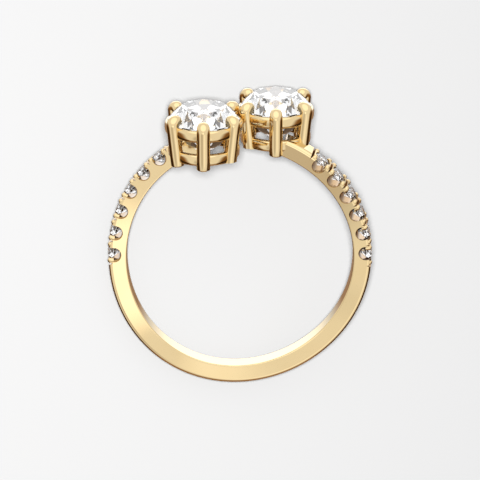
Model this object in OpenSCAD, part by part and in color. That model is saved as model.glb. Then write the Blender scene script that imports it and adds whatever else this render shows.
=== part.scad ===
// Toi et moi ring: two oval brilliants in six prong baskets on a slim pave band.
// The ring is drawn upright, with the finger along Y, the stones up +Z and its front towards -Y.
// The resting module then lays it on its side, front up, with the finger hole's centre at the origin.

/* [Band] */
// Inside diameter of the band
inside_d = 17.3; // [15:0.1:21]
// Width of the band along the finger
band_w = 1.85; // [1.6:0.05:2.6]
// Thickness of the band from the finger outwards
band_t = 1.38; // [1.3:0.05:1.8]
// Rounding of the band's outer edges
edge_r = 0.3; // [0.1:0.05:0.5]
// How far each half of the band swings along the finger
shank_sway = 0.68; // [0:0.02:0.9]
// How far each shoulder twists towards the side that it swings to
shank_twist = 10; // [0:1:14]
// Angle above the horizontal at which each shoulder ends in its basket
shank_end = 69; // [66:1:72]

/* [Oval stones] */
// Width of an oval stone, across the finger
oval_w = 5.42; // [5:0.02:5.6]
// Length of an oval stone, along the finger
oval_l = 7.5; // [7:0.1:7.8]
// Height of an oval stone's crown above its girdle
oval_crown = 0.95; // [0.7:0.05:1.1]
// Depth of an oval stone's pavilion below its girdle
oval_pavilion = 2.6; // [2.2:0.05:2.7]
// Height of an oval stone's girdle above the finger hole's top
girdle_height = 2.55; // [2.4:0.05:2.9]
// Thickness of an oval stone's girdle
girdle_t = 0.12; // [0.06:0.02:0.2]

/* [Baskets] */
// Distance of each basket's centre from the middle, across the finger
head_x = 2.71; // [2.6:0.01:3.2]
// Distance of each basket's centre from the middle, along the finger
head_y = 2.2; // [1.9:0.05:2.6]
// Diameter of a prong
prong_d = 1.02; // [0.8:0.02:1.1]
// Distance of the prongs' axes outside the girdle, at the girdle
prong_out = 0.2; // [0.1:0.02:0.3]
// How far the prongs lean in from the girdle to their feet
prong_lean = 0.42; // [0.2:0.02:0.5]
// Turn of the side prongs from the stone's width towards its length
prong_turn = 39.5; // [35:0.5:45]
// How far the prongs' feet reach below the finger hole's top, beside the finger
foot_drop = 0.52; // [0.3:0.01:0.6]
// Height of the side prongs' tips above the girdle
tip_rise = 0.82; // [0.6:0.02:1]
// Height of the end prongs' tips above the girdle
end_tip_rise = 0.62; // [0.5:0.02:0.9]
// How far the prongs are bent over the stones at their tips
claw_l = 0.3; // [0.2:0.02:0.4]
// How far the baskets may reach inside the finger hole's circle
foot_bite = 0.19; // [0:0.01:0.2]

/* [Gallery rails] */
// Bottom of the lower rail, above the prongs' feet
lower_rail_up = 0.27; // [0.2:0.01:0.6]
// Height of the lower rail
lower_rail_h = 0.86; // [0.5:0.02:0.94]
// Bottom of the upper rail, below the girdle
upper_rail_down = 0.96; // [0.9:0.02:1.2]
// Height of the upper rail
upper_rail_h = 0.88; // [0.5:0.02:0.9]
// Thickness of both rails at their fullest
rail_t = 0.62; // [0.4:0.02:0.8]
// How far the rails stay inside the prongs' axes
rail_in = 0.2; // [0.1:0.02:0.3]

/* [Accent stones] */
// Number of accent stones on each shoulder
accents = 6; // [4:1:6]
// Diameter of an accent stone
accent_d = 1.3; // [1:0.02:1.36]
// Angle above the horizontal of the lowest accent stone
accent_start = 1.5; // [0:0.5:4]
// Angle from one accent stone to the next
accent_pitch = 9.9; // [9.6:0.1:10.2]
// Height of the accent stones' tables above the band
accent_proud = 0.04; // [0:0.01:0.1]
// Width of the scallop that shows each accent stone from the side
scallop_w = 0.94; // [0.8:0.02:1.1]
// Depth of the scallops
scallop_depth = 0.92; // [0.8:0.02:1]
// Diameter of the beads that hold the accent stones
bead_d = 0.4; // [0.3:0.02:0.44]
// Height of the beads above the band
bead_rise = 0.08; // [0:0.01:0.15]
// Distance between a front bead and a back bead
bead_span = 1.34; // [1.3:0.02:1.4]
// Distance between the two beads beside each other in a pair
bead_gap = 0.5; // [0.46:0.01:0.56]

/* [Hidden] */

// Clearance between a stone and the gold that holds it
seat_gap = 0.02;
// How far a piece is sunk into one that it is soldered to
sink = 0.2;
// Slant of the band's end faces, inside the baskets
END_SKEW = 0.1;
inside_r = inside_d / 2;
mid_r = inside_r + band_t / 2;
girdle_z = inside_r + girdle_height;
foot_z = inside_r - foot_drop;
lower_rail_z = foot_z + lower_rail_up;
upper_rail_z = girdle_z - upper_rail_down;
Y = [0, 1, 0];

// How much less a claw's radius is than its prong's
CLAW_STEP = 0.03;

// Steps round the band, on each of its rounded edges, round a rail and round a rail's section
BAND_STEPS = 72;
EDGE_STEPS = 3;
RAIL_STEPS = 32;
BARREL_STEPS = 12;
// Roundness of a rail's section: 1 is an ellipse, less is squarer
BARREL = 0.7;

// Brilliant cut, as shares of the stone's half width and heights
TABLE = 0.62;
STAR = 0.8;
LOWER = 0.5;
// How much fuller an oval stone's pavilion is than a straight one, as a share of its depth
FULLNESS = 0.12;

// Heights of a round accent stone, as shares of its diameter
ACCENT_CROWN = 0.16;
ACCENT_GIRDLE = 0.03;
ACCENT_PAVILION = 0.43;

function unit(v) = v / norm(v);

// Shape of the band at an angle: its swing along the finger, the slant of its path and its twist
// Its directions there: outwards from the finger's centre, out from its face, across it and along it
function outward(a) = [cos(a), 0, sin(a)];
function sway(a) = -2 * shank_sway * cos(a) * sin(a);
function slant(a) = atan(2 * shank_sway * cos(2 * a) / (mid_r + band_t / 2));
function twist(a) = 2 * shank_twist * cos(a) * max(0, sin(a));
function band_normal(a) = cos(twist(a)) * outward(a) - sin(twist(a)) * Y;
function band_across(a) = cos(twist(a)) * Y + sin(twist(a)) * outward(a);
function band_along(a) = cross(band_across(a), band_normal(a));

// A point of the band, from its middle line out along its normal and across its width
function band_point(a, out, across) =
    mid_r * outward(a) + sway(a) * Y + out * band_normal(a) + across * band_across(a);

// Half width and height of the band's section, with rounded outer edges and the inside sunk below the hole
function band_section() =
    let (w = band_w / 2, top = band_t / 2, low = -band_t / 2 - sink)
    concat(
        [[-w, low], [w, low]],
        [for (i = [0:EDGE_STEPS])
            let (q = i * 90 / EDGE_STEPS) [w - edge_r + edge_r * cos(q), top - edge_r + edge_r * sin(q)]],
        [for (i = [0:EDGE_STEPS])
            let (q = 90 + i * 90 / EDGE_STEPS) [edge_r - w + edge_r * cos(q), top - edge_r + edge_r * sin(q)]]
    );

// Skin over equal rings of points, closed by a flat cap at each end, or end to end
module skin(rings, closed = false) {
    n = len(rings[0]);
    m = len(rings);
    points = [for (ring = rings) for (p = ring) p];
    sides = [for (i = [0:m - (closed ? 1 : 2)]) for (j = [0:n - 1])
        let (a = i * n + j, b = i * n + (j + 1) % n, across = ((i + 1) % m - i) * n)
        each [[a, b, b + across], [a, b + across, a + across]]];
    caps = closed ? [] : [[for (j = [n - 1:-1:0]) j], [for (j = [0:n - 1]) (m - 1) * n + j]];
    polyhedron(points, concat(sides, caps));
}

module finger_hole(r = inside_r) {
    rotate([90, 0, 0]) cylinder(r = r, h = 2 * inside_d, center = true, $fn = 180);
}

// The band is open at the top, where its ends are soldered into the baskets
function band_angle(step) = (180 + 2 * shank_end) * step / BAND_STEPS - 180 - shank_end;

// The band with its sway and twist, its end faces set a little askew of the finger
module shank() {
    difference() {
        skin([for (i = [0:BAND_STEPS])
            let (a = band_angle(i), askew = i % BAND_STEPS == 0 ? END_SKEW : 0)
            [for (p = band_section()) band_point(a, p[1], p[0]) + p[0] * askew * band_along(a)]]);
        finger_hole();
    }
}

// Puts its children at an angle round the band, with Z outwards from the band's outer face
module on_band(a) {
    x = band_along(a);
    y = band_across(a);
    z = band_normal(a);
    p = band_point(a, band_t / 2, 0);
    multmatrix([
        [x[0], y[0], z[0], p[0]],
        [x[1], y[1], z[1], p[1]],
        [x[2], y[2], z[2], p[2]],
        [0, 0, 0, 1]
    ]) children();
}

// The ring is the same seen from the front and from behind
module both_shoulders() {
    children();
    rotate([0, 0, 180]) children();
}

// Scallop through the band
module scallop() {
    rotate([90, 0, 0]) linear_extrude(2 * band_w, center = true) {
        translate([0, scallop_w / 2 - scallop_depth]) circle(d = scallop_w, $fn = 32);
        translate([-scallop_w / 2, scallop_w / 2 - scallop_depth]) square([scallop_w, scallop_depth]);
    }
}

// Seat that the accent stone drops into
module accent_seat() {
    r = accent_d / 2 + seat_gap;
    rotate_extrude($fn = 48) polygon([
        [0, band_t], [r, band_t], [r, accent_girdle() - accent_girdle_t() - seat_gap],
        [0, accent_girdle() - accent_girdle_t() - accent_pavilion() - seat_gap * 2]
    ]);
}

// Round headed bead standing in the band's outer face
module bead() {
    r = bead_d / 2;
    rotate_extrude($fn = 24) {
        translate([0, -2 * sink]) square([r, 2 * sink + bead_rise - r]);
        translate([0, bead_rise - r]) intersection() {
            circle(r = r, $fn = 24);
            square([r, r]);
        }
    }
}

// Four beads stand round each accent stone, square to the band's path
module accent_beads(a) {
    for (side = [-1, 1])
        let (between = a + side * accent_pitch / 2)
            on_band(between) rotate([0, 0, slant(between)])
                for (across = [-1, 1])
                    translate([side * bead_gap / 2, across * bead_span / 2, 0]) bead();
}

module on_accents() {
    both_shoulders() for (i = [1:accents]) on_band(accent_angle(i)) children();
}

function accent_angle(i) = accent_start + (i - 1) * accent_pitch;
function accent_crown() = accent_d * ACCENT_CROWN;
function accent_girdle_t() = accent_d * ACCENT_GIRDLE;
function accent_pavilion() = accent_d * ACCENT_PAVILION;
function accent_girdle() = accent_proud - accent_crown();

// Distance of the prongs' axes from the basket's centre at a height, across and along the finger
function prong_reach(half, z) =
    half + prong_out - prong_lean * (girdle_z - z) / (girdle_z - foot_z);
function prong_axis(q, z) =
    [prong_reach(oval_w / 2, z) * cos(q), prong_reach(oval_l / 2, z) * sin(q), z];

PRONGS = [prong_turn, 90, 180 - prong_turn, 180 + prong_turn, 270, 360 - prong_turn];

// Round wire from one point to another, with a domed end
module wire(from, to, r) {
    way = to - from;
    h = norm(way);
    translate(from) rotate([0, acos(way[2] / h), atan2(way[1], way[0])]) rotate_extrude($fn = 40) {
        square([r, h]);
        translate([0, h]) intersection() {
            circle(r = r, $fn = 40);
            square([r, r]);
        }
    }
}

// One prong: a leaning wire whose tip is bent over the stone as a claw
module prong(q) {
    rise = q % 180 == 90 ? end_tip_rise : tip_rise;
    foot = prong_axis(q, foot_z);
    tip = prong_axis(q, girdle_z + rise - prong_d / 2);
    wire(foot, tip, prong_d / 2);
    wire(tip, tip - claw_l * unit([tip[0], tip[1], 0]), prong_d / 2 - CLAW_STEP);
}

// Barrel shaped section of a rail, in shares of its half thickness and of its height
function barrel(q) =
    [sign(cos(q)) * pow(abs(cos(q)), BARREL), sign(sin(q)) * pow(abs(sin(q)), BARREL) / 2];

// Barrel shaped rail following the oval at a height
module rail(z, h) {
    skin([for (i = [0:RAIL_STEPS - 1])
        let (
            q = i * 360 / RAIL_STEPS,
            a = prong_reach(oval_w / 2, z + h / 2) - rail_in,
            b = prong_reach(oval_l / 2, z + h / 2) - rail_in,
            middle = [a * cos(q), b * sin(q), z + h / 2],
            out = unit([cos(q) / a, sin(q) / b, 0]),
            half = rail_t / 2
        )
        [for (k = [1:BARREL_STEPS])
            let (s = barrel(k * 360 / BARREL_STEPS)) middle + s[0] * half * out + [0, 0, s[1] * h]]],
        closed = true);
}

module basket() {
    for (q = PRONGS) prong(q);
    rail(lower_rail_z, lower_rail_h);
    rail(upper_rail_z, upper_rail_h);
}

// Left basket in front, right basket behind
module at_basket(side) {
    translate([side * head_x, side * head_y, 0]) children();
}

// Brilliant cut stone: the girdle's top is at Z 0
module brilliant(half_w, half_l, crown, girdle, pavilion, fullness = 0) {
    star_z = crown * (1 - STAR * cos(22.5)) / (1 - TABLE);
    lower_z = -girdle - pavilion * (1 - LOWER * cos(22.5) + fullness);
    function at(r, q, z) = [half_w * r * cos(q), half_l * r * sin(q), z];
    points = concat(
        [for (k = [0:7]) at(TABLE, 45 * k, crown)],
        [for (k = [0:7]) at(STAR, 45 * k + 22.5, star_z)],
        [for (k = [0:15]) at(1, 22.5 * k, 0)],
        [for (k = [0:15]) at(1, 22.5 * k, -girdle)],
        [for (k = [0:7]) at(LOWER, 45 * k + 22.5, lower_z)],
        [[0, 0, -girdle - pavilion]]
    );
    table = [[for (k = [0:7]) 7 - k]];
    crown_facets = [for (k = [0:7])
        let (k1 = (k + 1) % 8, s = 8 + k, s0 = 8 + (k + 7) % 8, g = 16 + 2 * k, g2 = 16 + (2 * k + 2) % 16)
        each [[k, k1, s], [s0, k, g], [k, s, g], [s, g + 1, g], [s, g2, g + 1]]];
    girdle_facets = [for (k = [0:15])
        let (k1 = (k + 1) % 16) each [[16 + k, 16 + k1, 32 + k1], [16 + k, 32 + k1, 32 + k]]];
    lower_facets = [for (k = [0:7])
        let (s = 48 + k, s0 = 48 + (k + 7) % 8, g = 32 + 2 * k, g2 = 32 + (2 * k + 2) % 16)
        each [[g, g + 1, s], [g + 1, g2, s], [s0, g, s], [s0, s, 56]]];
    polyhedron(points, concat(table, crown_facets, girdle_facets, lower_facets));
}

module oval_stone(extra = 0) {
    translate([0, 0, girdle_z + extra])
        brilliant(oval_w / 2 + extra, oval_l / 2 + extra, oval_crown + extra, girdle_t + 2 * extra,
            oval_pavilion + extra, FULLNESS);
}

module scalloped_shank() {
    difference() {
        shank();
        on_accents() scallop();
    }
}

// All the gold, cast and soldered as one piece
module gold_mount() {
    color([0.93, 0.80, 0.55]) resting() difference() {
        union() {
            difference() {
                union() {
                    scalloped_shank();
                    for (side = [-1, 1]) at_basket(side) basket();
                }
                on_accents() accent_seat();
            }
            both_shoulders() for (i = [1:accents]) accent_beads(accent_angle(i));
        }
        for (side = [-1, 1]) at_basket(side) oval_stone(seat_gap);
        finger_hole(inside_r - foot_bite);
    }
}

module set_oval(side) {
    color([0.9, 0.93, 0.96, 0.6]) resting() at_basket(side) oval_stone();
}

module set_accent(side, i) {
    if (i <= accents)
        color([0.9, 0.93, 0.96, 0.6]) resting()
            rotate([0, 0, side > 0 ? 0 : 180]) on_band(accent_angle(i)) translate([0, 0, accent_girdle()])
                brilliant(accent_d / 2, accent_d / 2, accent_crown(), accent_girdle_t(), accent_pavilion());
}

// The ring lies on the foot of the far basket's hind prong and on the hind edge of the band opposite
REST_STEP = 26;
REST_EDGE = [band_w / 2 - edge_r * (1 - cos(30)), band_t / 2 - edge_r * (1 - sin(30))];
BAND_REST = [for (i = [0, 1]) band_point(band_angle(REST_STEP + i), REST_EDGE[1], REST_EDGE[0])];
FOOT_TURN = 9;
FOOT_LEAN = unit(prong_axis(90, girdle_z) - prong_axis(90, foot_z));
FOOT_REST = [head_x, head_y, 0] + prong_axis(90, foot_z)
    + prong_d / 2 * [-sin(FOOT_TURN), FOOT_LEAN[2] * cos(FOOT_TURN), -FOOT_LEAN[1] * cos(FOOT_TURN)];
REST_Z = let (n = unit(cross(BAND_REST[0] - FOOT_REST, BAND_REST[1] - FOOT_REST))) n[1] > 0 ? -n : n;
REST_Y = unit([0, 0, 1] - REST_Z[2] * REST_Z);
REST_X = cross(REST_Y, REST_Z);

module resting() {
    multmatrix([
        [REST_X[0], REST_X[1], REST_X[2], 0],
        [REST_Y[0], REST_Y[1], REST_Y[2], 0],
        [REST_Z[0], REST_Z[1], REST_Z[2], 0],
        [0, 0, 0, 1]
    ]) children();
}

gold_mount();
set_oval(-1);  // left_oval_stone
set_oval(1);  // right_oval_stone
set_accent(1, 1);  // right_accent_1
set_accent(1, 2);  // right_accent_2
set_accent(1, 3);  // right_accent_3
set_accent(1, 4);  // right_accent_4
set_accent(1, 5);  // right_accent_5
set_accent(1, 6);  // right_accent_6
set_accent(-1, 1);  // left_accent_1
set_accent(-1, 2);  // left_accent_2
set_accent(-1, 3);  // left_accent_3
set_accent(-1, 4);  // left_accent_4
set_accent(-1, 5);  // left_accent_5
set_accent(-1, 6);  // left_accent_6
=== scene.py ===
"""Looks of the toi et moi ring: polished gold, diamonds, floor, light and camera.

Sizes are in millimetres in the upright ring, with the finger along Y, the stones up +Z and the front
towards -Y. The lay function turns a point to the ring as it lies, in metres.
"""
import math

import bmesh
import bpy
from mathutils import Matrix, Vector


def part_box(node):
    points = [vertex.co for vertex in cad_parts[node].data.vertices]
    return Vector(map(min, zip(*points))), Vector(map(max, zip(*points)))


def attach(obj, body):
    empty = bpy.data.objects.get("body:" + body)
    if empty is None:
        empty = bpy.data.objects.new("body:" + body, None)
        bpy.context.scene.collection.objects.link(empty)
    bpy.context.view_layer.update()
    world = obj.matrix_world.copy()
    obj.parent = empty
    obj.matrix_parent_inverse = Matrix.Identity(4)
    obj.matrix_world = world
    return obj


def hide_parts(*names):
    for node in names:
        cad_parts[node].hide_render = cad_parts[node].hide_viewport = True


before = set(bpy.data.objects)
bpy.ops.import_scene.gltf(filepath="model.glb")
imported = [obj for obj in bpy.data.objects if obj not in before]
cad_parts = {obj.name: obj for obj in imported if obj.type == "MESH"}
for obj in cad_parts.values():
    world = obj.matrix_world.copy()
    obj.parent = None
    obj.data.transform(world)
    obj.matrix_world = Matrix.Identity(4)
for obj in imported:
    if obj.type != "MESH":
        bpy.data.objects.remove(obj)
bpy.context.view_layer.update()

# Band
INSIDE_R = 8.65
BAND_W = 1.85
BAND_T = 1.38
EDGE_R = 0.3
INNER_EDGE_R = 0.09
SWAY = 0.68
TWIST = 10.0
BAND_END = 69.0
MID_R = INSIDE_R + BAND_T / 2

# Oval stones and their baskets
OVAL_W = 5.42
OVAL_L = 7.5
GIRDLE_Z = 11.2
HEAD_X = 2.71
HEAD_Y = 2.2
PRONG_D = 1.02
PRONG_OUT = 0.2
PRONG_LEAN = 0.42
PRONG_TURN = 39.5
FOOT_Z = 8.13
TIP_RISE = 0.82
END_TIP_RISE = 0.62
CLAW = 0.3
CLAW_STEP = 0.03
BEND = 0.25
FOOT_EDGE = 0.1
RAILS = ((8.4, 0.86), (10.24, 0.88))
RAIL_T = 0.62
RAIL_IN = 0.2
FOOT_CIRCLE = INSIDE_R - 0.19

# Accent stones of each shoulder
ACCENTS = 6
ACCENT_D = 1.3
ACCENT_START = 1.5
ACCENT_PITCH = 9.9
ACCENT_GIRDLE = 0.04 - 0.16 * ACCENT_D
SCALLOP_W = 0.94
SCALLOP_DEPTH = 0.92
RIM = 0.06
BEAD_D = 0.42
BEAD_RISE = 0.07
BEAD_SPAN = 1.38
BEAD_GAP = 0.5
BEAD_ROOT = 0.4
SEAT_GAP = 0.02
NOTCH_W = 0.2
NOTCH_DEPTH = 0.36
HOLD = 0.02
PAST = 0.5

# Angle between faces from which an edge is sharp
SHARP_FROM = 30

# The ring as it lies: rows of the turn from the upright ring
REST = Matrix((
    (0.97216, 0.234318, 0.0),
    (-0.0545588, 0.226359, 0.972515),
    (0.227877, -0.94544, 0.232841)))
MILLIMETRE = 0.001
REST_4 = (REST * MILLIMETRE).to_4x4()

Y = Vector((0, 1, 0))


def rad(a):
    return math.radians(a)


def outward(a):
    return Vector((math.cos(rad(a)), 0, math.sin(rad(a))))


def sway(a):
    return -2 * SWAY * math.cos(rad(a)) * math.sin(rad(a))


def slant(a):
    return math.degrees(math.atan(2 * SWAY * math.cos(rad(2 * a)) / (MID_R + BAND_T / 2)))


def twist(a):
    return rad(2 * TWIST * math.cos(rad(a)) * max(0, math.sin(rad(a))))


def normal(a):
    return math.cos(twist(a)) * outward(a) - math.sin(twist(a)) * Y


def across(a):
    return math.cos(twist(a)) * Y + math.sin(twist(a)) * outward(a)


def band_point(a, out, side):
    return MID_R * outward(a) + sway(a) * Y + out * normal(a) + side * across(a)


def at_radius(a, radius, side):
    out = (radius - MID_R - side * math.sin(twist(a))) / math.cos(twist(a))
    return band_point(a, out, side)


def on_band(a):
    """Frame on the band's outer face, with Z out of the face and Y across it."""
    y, z = across(a), normal(a)
    m = Matrix((y.cross(z), y, z)).transposed().to_4x4()
    m.translation = band_point(a, BAND_T / 2, 0)
    return m


def half_turn(m):
    return Matrix.Rotation(math.pi, 4, "Z") @ m


def accent_angle(i):
    return ACCENT_START + i * ACCENT_PITCH


def lofted(name, rings, closed=False):
    """Mesh object over rings of points, with flat ends unless it is closed end to end."""
    bm = bmesh.new()
    rows = [[bm.verts.new(p) for p in ring] for ring in rings]
    n = len(rows[0])
    steps = len(rows) if closed else len(rows) - 1
    for i in range(steps):
        a, b = rows[i], rows[(i + 1) % len(rows)]
        for j in range(n):
            bm.faces.new((a[j], a[(j + 1) % n], b[(j + 1) % n], b[j]))
    if not closed:
        bm.faces.new(reversed(rows[0]))
        bm.faces.new(rows[-1])
    bmesh.ops.recalc_face_normals(bm, faces=bm.faces)
    mesh = bpy.data.meshes.new(name)
    bm.to_mesh(mesh)
    bm.free()
    obj = bpy.data.objects.new(name, mesh)
    bpy.context.scene.collection.objects.link(obj)
    return obj


def joined(name, parts):
    """One mesh object in place of several."""
    bm = bmesh.new()
    for part in parts:
        bm.from_mesh(part.data)
        bpy.data.objects.remove(part)
    mesh = bpy.data.meshes.new(name)
    bm.to_mesh(mesh)
    bm.free()
    obj = bpy.data.objects.new(name, mesh)
    bpy.context.scene.collection.objects.link(obj)
    return obj


def cut(obj, cutter, self_crossing=False, materials="INDEX"):
    """Cuts a piece, whose cut faces take the cutter's material where materials is TRANSFER."""
    mod = obj.modifiers.new("cut", "BOOLEAN")
    mod.operation = "DIFFERENCE"
    mod.solver = "EXACT"
    mod.material_mode = materials
    mod.use_self = self_crossing
    mod.object = cutter
    settle(obj)
    bpy.data.objects.remove(cutter)


def settle(obj):
    """Turns what the modifiers show into the object's own mesh."""
    bpy.context.view_layer.update()
    shown = obj.evaluated_get(bpy.context.evaluated_depsgraph_get())
    mesh = bpy.data.meshes.new_from_object(shown)
    obj.modifiers.clear()
    obj.data = mesh
    return obj


def laid(obj):
    """Lays an upright piece in the row's frame."""
    obj.data.transform(REST_4)
    obj.data.update()
    return obj


def smooth(obj):
    obj.data.set_sharp_from_angle(angle=rad(SHARP_FROM))
    for p in obj.data.polygons:
        p.use_smooth = True


# Band

def band_section(a):
    """Section of the band at an angle: rounded outer edges, and an inner face on the finger hole.

    A point a little way off each rounded edge keeps the flat faces flat where they are shaded smooth.
    """
    w, top, inner = BAND_W / 2, BAND_T / 2, INNER_EDGE_R
    flank = top - EDGE_R
    ring = [band_point(a, flank - HOLD, w)]
    for k in range(7):
        q = rad(90 * k / 6)
        ring.append(band_point(a, flank + EDGE_R * math.sin(q), w - EDGE_R + EDGE_R * math.cos(q)))
    ring.append(band_point(a, top, w - EDGE_R - HOLD))
    ring.append(band_point(a, top, EDGE_R + HOLD - w))
    for k in range(7):
        q = rad(90 + 90 * k / 6)
        ring.append(band_point(a, flank + EDGE_R * math.sin(q), EDGE_R - w + EDGE_R * math.cos(q)))
    ring.append(band_point(a, flank - HOLD, -w))
    ring.append(at_radius(a, INSIDE_R + inner + HOLD, -w))
    for k in range(5):
        q = rad(90 * k / 4)
        ring.append(at_radius(a, INSIDE_R + inner * (1 - math.sin(q)), inner - w - inner * math.cos(q)))
    ring.append(at_radius(a, INSIDE_R, inner + HOLD - w))
    ring.append(at_radius(a, INSIDE_R, w - inner - HOLD))
    for k in range(5):
        q = rad(90 * k / 4)
        ring.append(at_radius(a, INSIDE_R + inner * (1 - math.cos(q)), w - inner + inner * math.sin(q)))
    ring.append(at_radius(a, INSIDE_R + inner + HOLD, w))
    return ring


def scallop_cutter(place):
    """U shaped slot across the band, flared at both faces for its bright rim."""
    half = BAND_W / 2
    rings = []
    for y, grow in ((-half - PAST, RIM + PAST), (RIM - half, 0), (half - RIM, 0), (half + PAST, RIM + PAST)):
        r = SCALLOP_W / 2 + grow
        low = SCALLOP_W / 2 - SCALLOP_DEPTH
        ring = [Vector((-r, y, 0.6)), Vector((r, y, 0.6))]
        ring += [Vector((r * math.cos(rad(q)), y, low - r * math.sin(rad(q)))) for q in range(0, 181, 9)]
        rings.append([place @ p for p in ring])
    return rings


def seat_cutter(place):
    """Round seat that an accent stone drops into."""
    r = ACCENT_D / 2 + SEAT_GAP
    low = ACCENT_GIRDLE - 0.03 * ACCENT_D - SEAT_GAP
    rings = []
    for radius, z in ((r, PAST), (r, low), (SEAT_GAP, low - 0.43 * ACCENT_D - SEAT_GAP)):
        rings.append([place @ Vector((radius * math.cos(rad(q)), radius * math.sin(rad(q)), z))
                      for q in range(0, 360, 6)])
    return rings


def notch_cutter(place):
    """Saw cut across the band that parts the beads of two stones."""
    top = 0.3
    half = NOTCH_W / 2 * (NOTCH_DEPTH + top) / NOTCH_DEPTH
    rings = []
    for y in (-BAND_W / 2 - 0.3, BAND_W / 2 + 0.3):
        corners = (Vector((-half, y, top)), Vector((half, y, top)), Vector((0, y, -NOTCH_DEPTH)))
        rings.append([place @ p for p in corners])
    return rings


def accent_places():
    right = [on_band(accent_angle(i)) for i in range(ACCENTS)]
    return right + [half_turn(m) for m in right]


def notch_places():
    angles = [accent_angle(i - 0.5) for i in range(ACCENTS + 1)]
    right = [on_band(a) @ Matrix.Rotation(rad(slant(a)), 4, "Z") for a in angles]
    return right + [half_turn(m) for m in right]


def make_band():
    steps = 420
    low = -180 - BAND_END
    band = lofted("gold_band", [band_section(low + (BAND_END - low) * i / steps) for i in range(steps + 1)])
    band.data.materials.append(gold)
    for cutter, places in ((scallop_cutter, accent_places()), (seat_cutter, accent_places()),
                           (notch_cutter, notch_places())):
        tool = joined("cutters", [lofted("cutter", cutter(m)) for m in places])
        # The cut faces take the cutters' darker gold: painted shade in the scallops, seats and notches
        tool.data.materials.append(painted_shade_gold)
        cut(band, tool, materials="TRANSFER")
    return band


# Geometry Nodes for what repeats

def node_tree(name, sizes):
    tree = bpy.data.node_groups.new(name, "GeometryNodeTree")
    tree.interface.new_socket("Geometry", in_out="INPUT", socket_type="NodeSocketGeometry")
    tree.interface.new_socket("Geometry", in_out="OUTPUT", socket_type="NodeSocketGeometry")
    for size, value in sizes.items():
        socket = tree.interface.new_socket(size, in_out="INPUT", socket_type="NodeSocketFloat")
        socket.default_value = value
    return tree


def add_node(tree, kind, links=None, **settings):
    """A node with its settings, then its sockets by name: a value, or a node's output to link."""
    node = tree.nodes.new(kind)
    for key, value in settings.items():
        setattr(node, key, value)
    for key, value in (links or {}).items():
        socket = node.inputs[key]
        if isinstance(value, bpy.types.NodeSocket):
            tree.links.new(value, socket)
        else:
            socket.default_value = value
    return node


def add_maths(tree, operation, *values):
    return add_node(tree, "ShaderNodeMath", dict(enumerate(values)), operation=operation).outputs[0]


def swept_wire_tree():
    """A round wire along each path, as thick at each point as the point's girth says."""
    tree = node_tree("swept wire", {})
    tree.interface.new_socket("Segments", in_out="INPUT", socket_type="NodeSocketInt").default_value = 32
    tree.interface.new_socket("Metal", in_out="INPUT", socket_type="NodeSocketMaterial")
    start = tree.nodes.new("NodeGroupInput")
    end = tree.nodes.new("NodeGroupOutput")
    path = add_node(tree, "GeometryNodeMeshToCurve", {"Mesh": start.outputs["Geometry"]})
    girth = add_node(tree, "GeometryNodeInputNamedAttribute", {"Name": "girth"}, data_type="FLOAT")
    ring = add_node(tree, "GeometryNodeCurvePrimitiveCircle", {
        "Resolution": start.outputs["Segments"], "Radius": 1.0})
    wire = add_node(tree, "GeometryNodeCurveToMesh", {
        "Curve": path.outputs[0], "Profile Curve": ring.outputs[0], "Scale": girth.outputs[0],
        "Fill Caps": True})
    close_up(tree, wire, start, end)
    return tree


def rail_tree():
    """A barrel shaped rail round the oval of each point."""
    tree = node_tree("gallery rail", {
        "Half width": 2.5, "Half length": 3.5, "Thickness": 0.6, "Height": 0.8, "Roundness": 0.7})
    tree.interface.new_socket("Metal", in_out="INPUT", socket_type="NodeSocketMaterial")
    start = tree.nodes.new("NodeGroupInput")
    end = tree.nodes.new("NodeGroupOutput")
    ring = add_node(tree, "GeometryNodeCurvePrimitiveCircle", {"Resolution": 128, "Radius": 1.0})
    stretch = add_node(tree, "ShaderNodeCombineXYZ", {
        "X": start.outputs["Half width"], "Y": start.outputs["Half length"], "Z": 1.0})
    oval = add_node(tree, "GeometryNodeTransform", {
        "Geometry": ring.outputs[0], "Scale": stretch.outputs[0]})
    upright = add_node(tree, "GeometryNodeSetCurveNormal", {"Curve": oval.outputs[0]}, mode="Z_UP")
    section = add_node(tree, "GeometryNodeCurvePrimitiveCircle", {"Resolution": 36, "Radius": 1.0})
    place = tree.nodes.new("GeometryNodeInputPosition")
    split = add_node(tree, "ShaderNodeSeparateXYZ", {"Vector": place.outputs[0]})
    spread = []
    for way, size in ((split.outputs["X"], "Thickness"), (split.outputs["Y"], "Height")):
        far = add_maths(tree, "ABSOLUTE", way)
        full = add_maths(tree, "POWER", far, start.outputs["Roundness"])
        sided = add_maths(tree, "MULTIPLY", full, add_maths(tree, "SIGN", way))
        half = add_maths(tree, "MULTIPLY", start.outputs[size], 0.5)
        spread.append(add_maths(tree, "MULTIPLY", sided, half))
    moved = add_node(tree, "ShaderNodeCombineXYZ", {"X": spread[0], "Y": spread[1]})
    barrel = add_node(tree, "GeometryNodeSetPosition", {
        "Geometry": section.outputs[0], "Position": moved.outputs[0]})
    rail = add_node(tree, "GeometryNodeCurveToMesh", {
        "Curve": upright.outputs[0], "Profile Curve": barrel.outputs[0]})
    both = add_node(tree, "GeometryNodeInstanceOnPoints", {
        "Points": start.outputs["Geometry"], "Instance": rail.outputs[0]})
    close_up(tree, both, start, end)
    return tree


def close_up(tree, shape, start, end):
    """Ends a tree: its instances are made real, loose seams are welded and the metal is put on."""
    real = add_node(tree, "GeometryNodeRealizeInstances", {"Geometry": shape.outputs[0]})
    welded = add_node(tree, "GeometryNodeMergeByDistance", {"Geometry": real.outputs[0], "Distance": 0.0005})
    dressed = add_node(tree, "GeometryNodeSetMaterial", {
        "Geometry": welded.outputs[0], "Material": start.outputs["Metal"]})
    tree.links.new(dressed.outputs[0], end.inputs[0])


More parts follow.
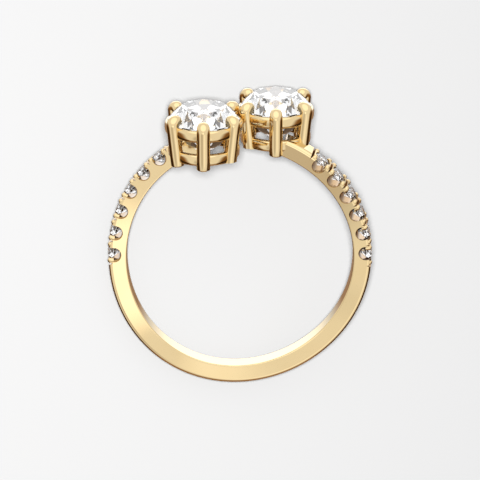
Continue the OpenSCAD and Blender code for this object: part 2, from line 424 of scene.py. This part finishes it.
def grown(name, paths, tree, sizes):
    """Runs a tree over paths of points with a girth each, and gives the plain mesh."""
    points = [step for path in paths for step in path]
    edges = []
    first = 0
    for path in paths:
        edges += [(first + i, first + i + 1) for i in range(len(path) - 1)]
        first += len(path)
    mesh = bpy.data.meshes.new(name)
    mesh.from_pydata([tuple(p) for p, girth in points], edges, [])
    thick = mesh.attributes.new("girth", "FLOAT", "POINT")
    for item, (p, girth) in zip(thick.data, points):
        item.value = girth
    obj = bpy.data.objects.new(name, mesh)
    bpy.context.scene.collection.objects.link(obj)
    mod = obj.modifiers.new("grow", "NODES")
    mod.node_group = tree
    for item in tree.interface.items_tree:
        if item.item_type == "SOCKET" and item.in_out == "INPUT" and item.name in sizes:
            mod[item.identifier] = sizes[item.name]
    return settle(obj)


# Materials

class Value:
    """A node's output that maths can be written with."""

    def __init__(self, tree, socket):
        self.tree = tree
        self.socket = socket

    def math(self, operation, other):
        node = self.tree.nodes.new("ShaderNodeMath")
        node.operation = operation
        for socket, value in zip(node.inputs, (self, other)):
            if isinstance(value, Value):
                self.tree.links.new(value.socket, socket)
            else:
                socket.default_value = value
        return Value(self.tree, node.outputs[0])

    def __add__(self, other):
        return self.math("ADD", other)

    def __sub__(self, other):
        return self.math("SUBTRACT", other)

    def __mul__(self, other):
        return self.math("MULTIPLY", other)

    def clamped(self):
        node = self.tree.nodes.new("ShaderNodeClamp")
        self.tree.links.new(self.socket, node.inputs[0])
        return Value(self.tree, node.outputs[0])


class Paint:
    """The nodes of a material, or of the studio round the ring."""

    def __init__(self, owner, shader="Principled BSDF"):
        self.owner = owner
        owner.use_nodes = True
        self.tree = owner.node_tree
        self.shader = self.tree.nodes[shader]

    def node(self, kind, settings=None, output=0, **sockets):
        node = self.tree.nodes.new(kind)
        for key, value in (settings or {}).items():
            if key == "stops":
                ramp = node.color_ramp
                while len(ramp.elements) < len(value):
                    ramp.elements.new(0.5)
                for element, (at, colour) in zip(ramp.elements, value):
                    element.position = at
                    element.color = colour
            else:
                setattr(node, key, value)
        for key, value in sockets.items():
            self.put(node.inputs[key], value)
        return Value(self.tree, node.outputs[output])

    def along(self, vector, way):
        """How far a vector points along a way, from -1 to 1."""
        node = self.tree.nodes.new("ShaderNodeVectorMath")
        node.operation = "DOT_PRODUCT"
        self.put(node.inputs[0], vector)
        self.put(node.inputs[1], tuple(way))
        return Value(self.tree, node.outputs["Value"])

    def put(self, socket, value):
        if isinstance(value, Value):
            self.tree.links.new(value.socket, socket)
        else:
            socket.default_value = value

    def set(self, **sockets):
        for key, value in sockets.items():
            self.put(self.shader.inputs[key.replace("_", " ")], value)


def polished_gold(name, light, dark):
    paint = Paint(bpy.data.materials.new(name))
    place = paint.node("ShaderNodeTexCoord", output=3)
    cloud = paint.node("ShaderNodeTexNoise", Vector=place, Scale=420.0, Detail=3.0)
    grain = paint.node("ShaderNodeTexNoise", Vector=place, Scale=9000.0, Detail=2.0)
    tint = paint.node("ShaderNodeValToRGB", {"stops": [(0.3, dark), (0.7, light)]}, Fac=cloud)
    bump = paint.node("ShaderNodeBump", Height=grain, Strength=0.015, Distance=0.00002)
    paint.set(Base_Color=tint, Metallic=1.0, Roughness=cloud * 0.04 + 0.07, Normal=bump)
    return paint.owner


def diamond(name, tint):
    paint = Paint(bpy.data.materials.new(name))
    place = paint.node("ShaderNodeTexCoord", output=3)
    cloud = paint.node("ShaderNodeTexNoise", Vector=place, Scale=900.0, Detail=2.0)
    paint.set(Base_Color=tint, Roughness=cloud * 0.004, IOR=2.42)
    paint.shader.inputs["Transmission Weight"].default_value = 1.0
    return paint.owner


gold = polished_gold("polished_gold", (0.885, 0.69, 0.385, 1), (0.865, 0.665, 0.36, 1))
# Darker, browner gold for the faces cut by the scallops, seats and notches: painted shade for the hollows
# under the stones, not a colour of the metal
painted_shade_gold = polished_gold("gold_with_painted_shade", (0.35, 0.215, 0.085, 1), (0.31, 0.18, 0.065, 1))
oval_diamond = diamond("oval_diamond", (0.985, 0.99, 1.0, 1))
accent_diamond = diamond("accent_diamond", (0.985, 0.99, 1.0, 1))


# Gold pieces

def prong_reach(half, z):
    return half + PRONG_OUT - PRONG_LEAN * (GIRDLE_Z - z) / (GIRDLE_Z - FOOT_Z)


def prong_axis(q, z):
    width, length = prong_reach(OVAL_W / 2, z), prong_reach(OVAL_L / 2, z)
    return Vector((width * math.cos(rad(q)), length * math.sin(rad(q)), z))


def domed_end(tip, way, r):
    """Last points of a wire: a half ball on its end, and its point."""
    turns = [rad(q) for q in (0, 15, 30, 45, 60, 72, 82, 88)]
    return [(tip + way * r * math.sin(q), r * math.cos(q)) for q in turns]


def prong_path(q, rise, r):
    """From the foot, with its rounded edge, round the bend at the tip and along the claw."""
    foot = prong_axis(q, FOOT_Z)
    tip = prong_axis(q, GIRDLE_Z + rise - r)
    stem = (tip - foot).normalized()
    claw = -Vector((tip.x, tip.y, 0)).normalized()
    path = [(foot + stem * FOOT_EDGE * (1 - math.cos(rad(a))), r - FOOT_EDGE * (1 - math.sin(rad(a))))
            for a in (0, 30, 60, 90)]
    path += [(foot.lerp(tip, share), r) for share in (0.25, 0.5, 0.75)]
    turn = stem.angle(claw)
    setback = BEND * math.tan(turn / 2)
    side = (claw - stem * stem.dot(claw)).normalized()
    centre = tip - stem * setback + side * BEND
    for i in range(9):
        a = turn * i / 8
        path.append((centre - side * BEND * math.cos(a) + stem * BEND * math.sin(a), r - CLAW_STEP * i / 8))
    return path + domed_end(tip + claw * CLAW, claw, r - CLAW_STEP)


def make_prongs():
    r = PRONG_D / 2
    paths = []
    for side in (-1, 1):
        head = Vector((side * HEAD_X, side * HEAD_Y, 0))
        for q in (PRONG_TURN, 90, 180 - PRONG_TURN, 180 + PRONG_TURN, 270, 360 - PRONG_TURN):
            rise = END_TIP_RISE if q in (90, 270) else TIP_RISE
            paths.append([(head + p, girth) for p, girth in prong_path(q, rise, r)])
    return grown("prongs", paths, swept_wire_tree(), {"Segments": 40, "Metal": gold})


def make_rails():
    tree = rail_tree()
    made = []
    for low, height in RAILS:
        middle = low + height / 2
        centres = [Vector((side * HEAD_X, side * HEAD_Y, middle)) for side in (-1, 1)]
        made.append(grown("rail", [[(centre, 1.0)] for centre in centres], tree, {
            "Half width": prong_reach(OVAL_W / 2, middle) - RAIL_IN,
            "Half length": prong_reach(OVAL_L / 2, middle) - RAIL_IN,
            "Thickness": RAIL_T, "Height": height, "Roundness": 0.7, "Metal": gold}))
    rails = joined("gallery_rails", made)
    rails.data.materials.append(gold)
    return rails


def make_beads():
    r = BEAD_D / 2
    paths = []
    for turn in (Matrix.Identity(4), Matrix.Rotation(math.pi, 4, "Z")):
        for i in range(ACCENTS):
            for side in (-1, 1):
                between = accent_angle(i) + side * ACCENT_PITCH / 2
                place = turn @ on_band(between) @ Matrix.Rotation(rad(slant(between)), 4, "Z")
                for flank in (-1, 1):
                    low = place @ Vector((side * BEAD_GAP / 2, flank * BEAD_SPAN / 2, -BEAD_ROOT))
                    head = place @ Vector((side * BEAD_GAP / 2, flank * BEAD_SPAN / 2, BEAD_RISE - r))
                    way = (head - low).normalized()
                    paths.append([(low, r), (low.lerp(head, 0.5), r)] + domed_end(head, way, r))
    return grown("pave_beads", paths, swept_wire_tree(), {"Segments": 20, "Metal": gold})


def seat_stones(obj):
    """Cuts the oval stones' seats, and the room round the finger, out of a basket piece."""
    for name in ("left_oval_stone", "right_oval_stone"):
        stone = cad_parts[name].data.copy()
        bm = bmesh.new()
        bm.from_mesh(stone)
        bmesh.ops.remove_doubles(bm, verts=bm.verts, dist=1e-6)
        centre = sum((v.co for v in bm.verts), Vector()) / len(bm.verts)
        bmesh.ops.scale(bm, vec=(1.008, 1.008, 1.008), verts=bm.verts, space=Matrix.Translation(-centre))
        bm.transform(REST_4.inverted())
        bm.to_mesh(stone)
        bm.free()
        cutter = bpy.data.objects.new("stone_cutter", stone)
        bpy.context.scene.collection.objects.link(cutter)
        cut(obj, cutter, self_crossing=True)
    hole = []
    for y in (-12, 12):
        hole.append([Vector((FOOT_CIRCLE * math.cos(rad(q)), y, FOOT_CIRCLE * math.sin(rad(q))))
                     for q in range(0, 360, 2)])
    cut(obj, lofted("finger_cutter", hole), self_crossing=True)


band = make_band()
prongs = make_prongs()
rails = make_rails()
beads = make_beads()
seat_stones(prongs)
seat_stones(rails)

for piece in (band, prongs, rails, beads):
    laid(piece)
    smooth(piece)
    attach(piece, "root")
    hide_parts("gold_mount")

for name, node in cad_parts.items():
    if "oval" in name:
        finish = oval_diamond
    elif "accent" in name:
        finish = accent_diamond
    else:
        finish = gold
    node.data.materials.clear()
    node.data.materials.append(finish)


# Floor, light and camera

def direction(x, y, z):
    """A direction of the upright ring, as the ring lies."""
    return (REST @ Vector((x, y, z))).normalized()


floor_z = min(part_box(name)[0].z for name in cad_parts)
floor_mesh = bpy.data.meshes.new("floor")
FLOOR_REACH = 0.6
corners = [(x * FLOOR_REACH, y * FLOOR_REACH, floor_z) for x, y in ((-1, -1), (1, -1), (1, 1), (-1, 1))]
floor_mesh.from_pydata(corners, [], [(0, 1, 2, 3)])
floor = bpy.data.objects.new("floor", floor_mesh)
bpy.context.scene.collection.objects.link(floor)
floor_paint = Paint(bpy.data.materials.new("pale_floor"))
floor_paint.set(Base_Color=(0.136, 0.136, 0.136, 1), Roughness=1.0)
floor_paint.shader.inputs["Specular IOR Level"].default_value = 0.0
floor_mesh.materials.append(floor_paint.owner)
floor.visible_glossy = False
floor.visible_transmission = False

# The view is from the front, a little above the stones' girdles
PITCH = 15.5
back = direction(0, -math.cos(rad(PITCH)), math.sin(rad(PITCH)))
up = direction(0, math.sin(rad(PITCH)), math.cos(rad(PITCH)))
right = up.cross(back)


# Patches of the studio as seen from the ring: degrees to the right of straight ahead and above level,
# then the patch's size and soft edge in degrees, and how much brighter or darker it is
STUDIO_PATCHES = (
    (0, 62, 36, 12, 0.45),
    (180, 15, 18, 10, 1.0),
    (-2, -3, 6, 6, 0.65),
    (20, -28, 9, 6, 0.2),
    (-24, -26, 12, 9, -0.3),
    (105, -24, 22, 18, -0.7),
    (-105, -24, 22, 18, -0.7),
)


AMBER = (1, 0.5, 0.16, 1)


def studio():
    """Soft light from ahead and above, with brighter and darker patches, and a dim warm room beyond.

    The darker it is the warmer it looks, except in light that comes through a stone.
    """
    world = bpy.data.worlds.new("studio")
    paint = Paint(world, "Background")
    way = paint.node("ShaderNodeTexCoord", output=0)
    ahead = direction(0, -1, 0)
    side = direction(1, 0, 0)
    top = direction(0, 0, 1)
    lit = ((paint.along(way, (top + ahead * 0.6).normalized()) + 0.55) * 3.3).clamped()
    glow = lit * 0.57 + 0.35
    for turn, rise, size, edge, change in STUDIO_PATCHES:
        level = side * math.sin(rad(turn)) + ahead * math.cos(rad(turn))
        near = paint.along(way, level * math.cos(rad(rise)) + top * math.sin(rad(rise)))
        inner, outer = math.cos(rad(size)), math.cos(rad(size + edge))
        glow = glow + ((near - outer) * (1 / (inner - outer))).clamped() * change
    through = paint.node("ShaderNodeLightPath", output=6)
    white = ((glow - 0.22) * 2.2).clamped().math("MAXIMUM", through * 0.8)
    tone = paint.node("ShaderNodeValToRGB", {"stops": [(0.0, AMBER), (1.0, (1, 1, 1, 1))]}, Fac=white)
    contrast = through * (lit * 0.65 - 0.35) + 1
    paint.set(Color=tone, Strength=glow.math("MAXIMUM", 0.04) * contrast)
    bpy.context.scene.world = world


def softbox(name, towards, distance, width, height, power):
    """Area light that looks at the ring from a direction of the row's frame."""
    light = bpy.data.lights.new(name, "AREA")
    light.shape = "RECTANGLE"
    light.size = width
    light.size_y = height
    light.energy = power
    lamp = bpy.data.objects.new(name, light)
    lamp.location = Vector(towards).normalized() * distance
    lamp.rotation_euler = (-lamp.location).to_track_quat("-Z", "Y").to_euler()
    bpy.context.scene.collection.objects.link(lamp)
    return lamp


studio()
DISTANCE = 0.25
VIEW_RISE = 0.001095
fill = softbox("fill", back * DISTANCE + up * VIEW_RISE, DISTANCE + 0.002, 0.03, 0.03, 3.76)
fill.visible_glossy = False
fill.visible_transmission = False

camera_data = bpy.data.cameras.new("camera")
camera_data.sensor_width = 36
camera_data.lens = 244.9
camera = bpy.data.objects.new("camera", camera_data)
pose = Matrix((right, up, back)).transposed().to_4x4()
pose.translation = back * DISTANCE + up * VIEW_RISE
camera.matrix_world = pose
camera_data.clip_start = 0.01
camera_data.clip_end = 5
bpy.context.scene.collection.objects.link(camera)
bpy.context.scene.camera = camera
bpy.context.scene.view_settings.view_transform = "Standard"
